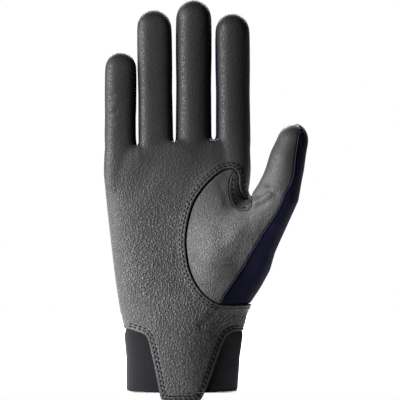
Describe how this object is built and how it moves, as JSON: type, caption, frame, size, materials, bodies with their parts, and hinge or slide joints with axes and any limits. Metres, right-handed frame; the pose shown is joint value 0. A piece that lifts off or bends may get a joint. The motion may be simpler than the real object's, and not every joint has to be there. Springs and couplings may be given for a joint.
{
  "type": "horse riding glove",
  "caption": "Right-hand riding glove with a leather palm, set-in thumb, stretch fabric back and gussets, knitted cuff and leather pull tab, in the form it has when worn.",
  "frame": {"origin": "middle of the wrist opening, in the plane of the cuff's hem", "axes": "+Z from the cuff to the fingertips, +X towards the thumb's side, +Y towards the back of the hand, so the palm faces -Y"},
  "size_m": [0.1215, 0.053, 0.2405],
  "materials": {
    "palm_leather": "pebbled dark grey grain leather with a soft sheen",
    "thumb_leather": "finer grained dark grey leather",
    "navy_fabric": "matt navy stretch fabric",
    "cuff_knit": "black stretch knit"
  },
  "bodies": {
    "root": {"palm_leather": "palm_leather", "thumb_leather": "thumb_leather", "thumb_quirk": "thumb_leather", "thumb_back": "navy_fabric", "back_panel": "navy_fabric", "fourchette_little_ring": "navy_fabric", "fourchette_ring_middle": "navy_fabric", "fourchette_middle_index": "navy_fabric", "cuff": "cuff_knit"}
  },
  "joints": []
}
